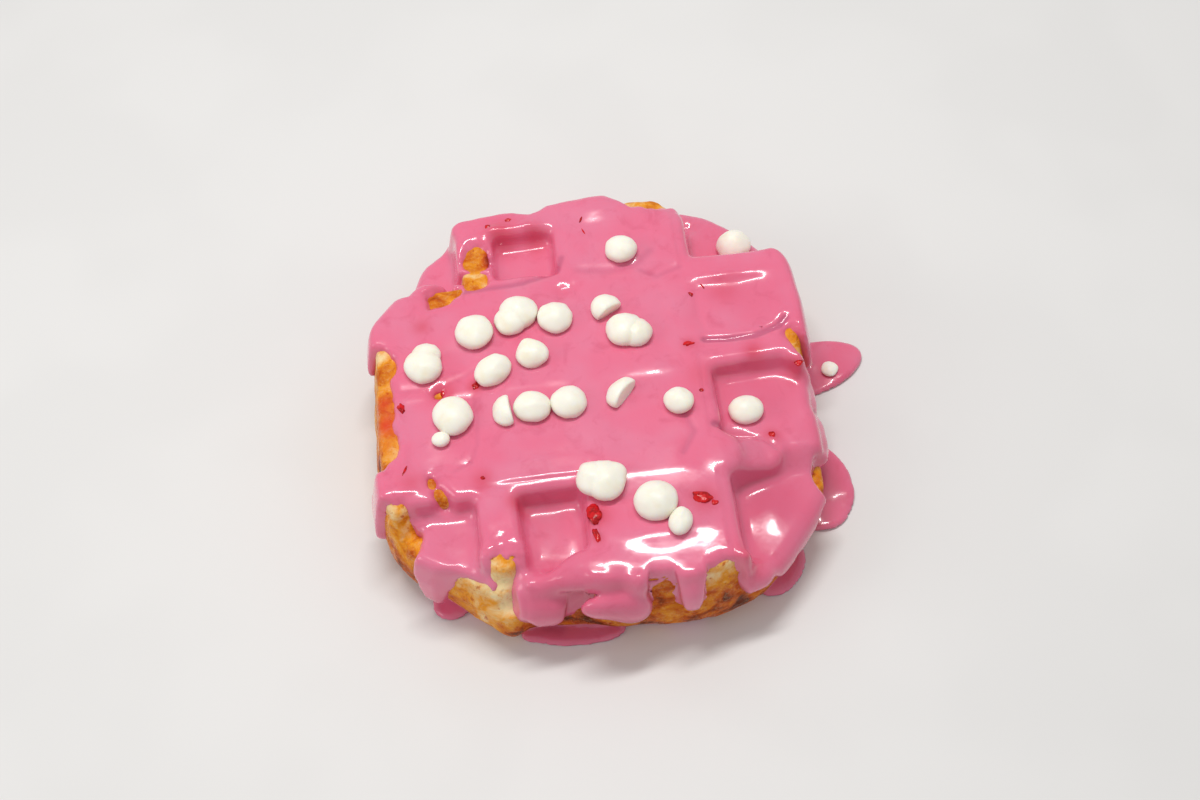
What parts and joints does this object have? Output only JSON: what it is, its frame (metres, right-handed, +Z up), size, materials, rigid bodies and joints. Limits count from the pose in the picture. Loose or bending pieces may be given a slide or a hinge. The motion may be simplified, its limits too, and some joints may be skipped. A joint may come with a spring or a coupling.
{
  "type": "belgian waffle",
  "caption": "Iced sugar waffle: a square of baked dough with a grid of pockets, under pink icing that runs down its sides, scattered with white sweet chips.",
  "frame": {"origin": "the middle of the part's box in plan, on the surface that it rests on", "axes": "+Z up, +X along the waffle's front edge to the right, +Y from its front edge to its rear edge"},
  "size_m": [0.1168, 0.11, 0.0308],
  "materials": {
    "dough": "baked, golden to brown, slightly sugary",
    "icing": "glossy pink icing",
    "candy": "satin, ivory white"
  },
  "bodies": {
    "root": {"waffle": "dough", "icing": "icing", "puddle_right": "icing", "puddle_right_front": "icing", "puddle_front_right": "icing", "puddle_front": "icing", "puddle_left_front": "icing", "chip_01": "candy", "chip_02": "candy", "chip_03": "candy", "chip_04": "candy", "chip_05": "candy", "chip_06": "candy", "chip_07": "candy", "chip_08": "candy", "chip_09": "candy", "chip_10": "candy", "chip_11": "candy", "chip_12": "candy", "chip_13": "candy", "chip_14": "candy", "chip_15": "candy", "chip_16": "candy", "chip_17": "candy", "chip_18": "candy", "chip_19": "candy", "chip_20": "candy", "chip_21": "candy", "chip_22": "candy"}
  },
  "joints": []
}
